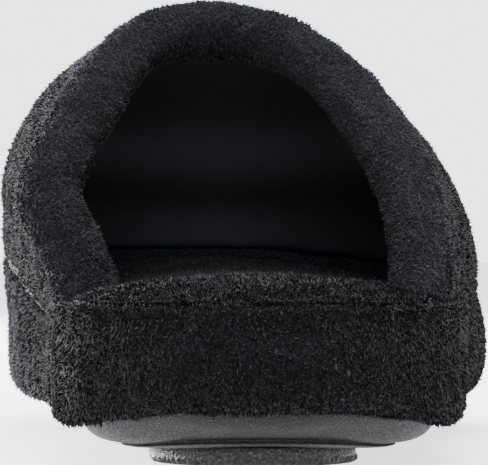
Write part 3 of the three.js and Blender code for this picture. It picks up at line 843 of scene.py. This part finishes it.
seam = {
    "ridge": 0.6 * mm,      # half its thickness
    "drop": 0.3 * mm,       # below the rim
    "out": 0.15 * mm,       # outside the rim at the heel
    "in": 0.5 * mm,         # inside it where the upper is sewn on
    "threads": 0.5 * mm,    # half the distance between the threads
    "thread": 0.2 * mm,     # half a thread
    "stitch": 0.9,          # how quickly a thread goes up and down along its line
    "waver": 0.12 * mm,     # and how far
    "proud": 0.45 * mm,     # how far the threads stand out of the shell
    "upright": 0.9 * mm,    # and the upright ones
    "uprightWaver": 0.15 * mm,
    "uprightSide": 37.5 * mm,  # how far from the middle they are looked for
    "uprightRun": (9.5 * mm, 26 * mm),  # from the wrap's lower edge to the rim
    "sunk": 0.7 * mm,       # how much less they do on the outer side
    "tufts": 16000,
}


def tubeAlong(name, line, radius, sides):
    # a round tube along a line of corners
    spline = bpy.data.curves.new(name, "CURVE")
    spline.dimensions = "3D"
    spline.bevel_depth = radius
    spline.bevel_resolution = sides
    spline.use_fill_caps = True
    run = spline.splines.new("POLY")
    run.points.add(len(line) - 1)
    run.points.foreach_set("co", np.c_[line, np.ones(len(line))].ravel())
    piece = bpy.data.objects.new(name, spline)
    bpy.context.scene.collection.objects.link(piece)
    pick(piece)
    bpy.ops.object.convert(target="MESH")
    piece = bpy.context.object
    piece.data.name = name
    shadeSmooth(piece)
    return piece


sewnOn = ease(rimRing[:, 1], -48 * mm, -32 * mm)
shift = seam["out"] - (seam["out"] + seam["in"]) * sewnOn
seamLine = rimRing + outwardsOf(rimRing) * shift[:, None]
seamLine[:, 2] -= seam["drop"]
seamLine[:, 0] -= leanOf(seamLine)
seamRidge = tubeAlong("seamRidge", seamLine, seam["ridge"], 2)
seamRidge.data.materials.append(wrapGround)
# painted light: the ridge's pile is paler at the inner ball, as the wrap's is
seamPile = strewTufts(
    seamRidge, "seamPile", np.ones(len(seamRidge.data.vertices)), seam["tufts"], (0, 0, -0.2),
    shade=-1.1 + 4 * innerBall(readPoints(seamRidge)), seed=51,
)


def laidOn(line, shells, proud):
    # the line moved onto the nearest of the shells, and as far out of it as proud says
    laid = []
    for corner, height in zip(line, proud):
        found = [shell.closest_point_on_mesh(Vector(corner)) for shell in shells]
        _, spot, normal, _ = min(found, key=lambda hit: (hit[1] - Vector(corner)).length)
        laid.append(spot + normal * float(height))
    return np.array(laid)


def finer(line, count):
    # the same line with more corners
    spots = np.linspace(0, len(line) - 1, count)
    return np.stack([np.interp(spots, np.arange(len(line)), line[:, axis]) for axis in range(3)], 1)


threads = []
allRound = finer(sewnLine, 1400)
for name, step in (("seamThreadUpper", 1), ("seamThreadLower", -1)):
    line = allRound + np.array([0, 0, step * seam["threads"]])
    sunk = seam["sunk"] * ease(line[:, 0], -20 * mm, 20 * mm)
    wave = seam["waver"] * np.sin(np.arange(len(line)) * seam["stitch"] + step)
    line = laidOn(line, (upperShell, platformWrap), seam["proud"] + wave - sunk)
    threads.append((name, line, seamThread))
for name, step in (("uprightThreadInner", -1), ("uprightThreadOuter", 1)):
    across = step * seam["uprightSide"]
    foot, head = ((across, side["seamAt"], height) for height in seam["uprightRun"])
    line = np.linspace(foot, head, 160)
    wave = seam["uprightWaver"] * np.sin(np.arange(len(line)) * seam["stitch"])
    sunk = 2 * seam["sunk"] * (step > 0)
    line = laidOn(line, (platformWrap,), seam["upright"] + wave - sunk)
    threads.append((name, line, uprightThread))
for name, line, spun in threads:
    thread = tubeAlong(name, line, seam["thread"], 1)
    thread.data.materials.append(spun)
    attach(thread, "root")
for piece in (seamRidge, seamPile):
    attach(piece, "root")
print("seam sewn")


# Soles

sole = {
    "flare": 1.0 * mm,      # the heel's cup opens out a little
    "lift": 1.0 * mm,       # and reaches up into the plush
    "grain": 0.45 * mm,     # mesh size of the heel's tread
    "raise": 0.9 * mm,      # the tread reaches up into the cup
    "back": 1.8 * mm,       # and back towards its edge
    "inner": 1.4 * mm,      # and wider on the inner side
    "nub": 0.6 * mm,        # nubs round the tread's lower edge
    "nubStep": 2.0 * mm,
    "bend": -96 * mm,       # where the tread's straight sides end and its arc begins
    "arc": 18 * mm,         # the arc's radius
    "nubStart": -124.3 * mm,  # where the sides' nubs are counted from, to follow the arc's
}

soleRubber = rubberFinish("soleRubber", 0.004, 0.032, 0.5 * mm, 9 * mm)
treadRubber = rubberFinish("treadRubber", 0.009, 0.038, 0.8 * mm, 20 * mm)

outsoleCup = solidCopy("outsole", "outsoleCup")
finishWith(outsoleCup, "SUBSURF", levels=2, render_levels=2)
points = readPoints(outsoleCup)
normals = readPoints(outsoleCup, "normal")
wall = ease(np.hypot(normals[:, 0], normals[:, 1]), 0.3, 0.7)
outward = ease(normals[:, 0] * points[:, 0] + normals[:, 1] * points[:, 1], 0, 0.01)
flare = wall * outward * ease(points[:, 2], 3 * mm, 6 * mm)
flare *= 1 - ease(points[:, 1], -95 * mm, -60 * mm)
points[:, :2] += normals[:, :2] * (sole["flare"] * flare)[:, None]
atHeel = 1 - ease(points[:, 1], -90 * mm, -60 * mm)
atCorner = atHeel * ease(np.abs(points[:, 0]), 18 * mm, 26 * mm)
cupLift = platform["arch"] * heelArch(points) + sole["lift"] * np.maximum(atCorner, 0.6 * atHeel)
points[:, 2] += cupLift * ease(points[:, 2], 4.5 * mm, 6.5 * mm)
writePoints(outsoleCup, points)
shadeSmooth(outsoleCup)
outsoleCup.data.materials.append(soleRubber)
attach(outsoleCup, "root")
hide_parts("outsole")
heelTread = solidCopy("heel_tread", "heelTread")
finishWith(heelTread, "REMESH", mode="VOXEL", voxel_size=sole["grain"])
finishWith(heelTread, "SMOOTH", factor=0.5, iterations=2)
points = readPoints(heelTread)
normals = readPoints(heelTread, "normal")
points[:, 2] += sole["raise"] * ease(points[:, 2], 2 * mm, 3 * mm)
points[:, 1] -= sole["back"] * (1 - ease(points[:, 1], -112 * mm, -92 * mm))
points[:, 0] -= sole["inner"] * ease(-points[:, 0], 6 * mm, 17 * mm)
# how far round the tread's edge a point lies: an arc behind, straight sides in front
turn = np.arctan2(points[:, 0], sole["bend"] - points[:, 1]) * sole["arc"]
ahead = np.sign(points[:, 0]) * (points[:, 1] - sole["nubStart"])
edgeRun = np.where(points[:, 1] < sole["bend"], turn, ahead)
wave = 0.5 + 0.5 * np.cos(edgeRun * 2 * math.pi / sole["nubStep"])
wall = ease(np.hypot(normals[:, 0], normals[:, 1]), 0.3, 0.8)
lowBand = 1 - ease(points[:, 2], 1.1 * mm, 1.5 * mm)
points += normals * (sole["nub"] * (wave - 0.3) * wall * lowBand)[:, None]
points[:, 2] = np.maximum(points[:, 2], 0)
writePoints(heelTread, points)
shadeSmooth(heelTread)
heelTread.data.materials.append(treadRubber)
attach(heelTread, "root")
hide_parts("heel_tread")
nodes["ball_tread"].data.materials.clear()
nodes["ball_tread"].data.materials.append(treadRubber)
print("soles moulded")


# Studio

studio = {
    "floor": 0.82,          # how pale the floor is
    "floorSize": 12.0,
    "glow": 1.5,            # the floor's own light, which keeps it white
    "sky": 1.1,             # the sky's light on the shoe
    "backdrop": 3.2,        # and as the camera sees it
    "aim": (0, 0, 0.04),
    "lights": {             # place, size, power
        "topLight": ((0, -0.4, 1.0), (1.0, 1.0), 26),
        "leftLight": ((-0.8, 0.95, 0.2), (0.6, 0.3), 112),
        "rightLight": ((0.8, 0.9, 0.2), (0.6, 0.3), 25),
        "backLight": ((0, -1.3, 0.25), (0.5, 0.25), 11.5),
    },
}

# the tufts' models have been strewn and aren't needed any more
for spike in list(tufts.objects):
    bpy.data.objects.remove(spike)

bpy.ops.object.select_all(action="DESELECT")
bpy.ops.mesh.primitive_plane_add(size=studio["floorSize"], location=(0, 0, 0))
floor = bpy.context.object
floor.name = "floor"
finish = Finish("paleFloor")
pale, paler = ((studio["floor"] * share,) * 3 + (1,) for share in (0.98, 1))
floor.data.materials.append(finish.surface({
    "Base Color": finish.blend(finish.noise(0.4), paler, pale),
    "Roughness": 0.9,
    "Emission Color": (1, 1, 1, 1),
    "Emission Strength": studio["glow"],
}))

world = bpy.data.worlds.new("studioSky")
world.use_nodes = True
sky = world.node_tree.nodes["Background"]
sky.inputs["Color"].default_value = (1, 1, 1, 1)
seen = world.node_tree.nodes.new("ShaderNodeLightPath")
level = world.node_tree.nodes.new("ShaderNodeMapRange")
level.inputs["To Min"].default_value = studio["sky"]
level.inputs["To Max"].default_value = studio["backdrop"]
world.node_tree.links.new(seen.outputs["Is Camera Ray"], level.inputs["Value"])
world.node_tree.links.new(level.outputs["Result"], sky.inputs["Strength"])
bpy.context.scene.world = world

for name, (place, size, power) in studio["lights"].items():
    bpy.ops.object.select_all(action="DESELECT")
    turn = (Vector(studio["aim"]) - Vector(place)).to_track_quat("-Z", "Y").to_euler()
    bpy.ops.object.light_add(type="AREA", location=place, rotation=turn)
    light = bpy.context.object
    light.name = name
    light.data.shape = "RECTANGLE"
    light.data.size, light.data.size_y = size
    light.data.energy = power

view = {"place": (-0.0173, -0.8708, 0.041), "turn": (90.06, 0, -1.1), "lens": 316.5}
bpy.ops.object.camera_add(
    location=view["place"], rotation=[math.radians(angle) for angle in view["turn"]]
)
camera = bpy.context.object
camera.data.lens = view["lens"]
camera.data.sensor_width = 36
camera.data.sensor_fit = "HORIZONTAL"
camera.data.clip_start = 0.05
bpy.context.scene.camera = camera
print("studio lit")
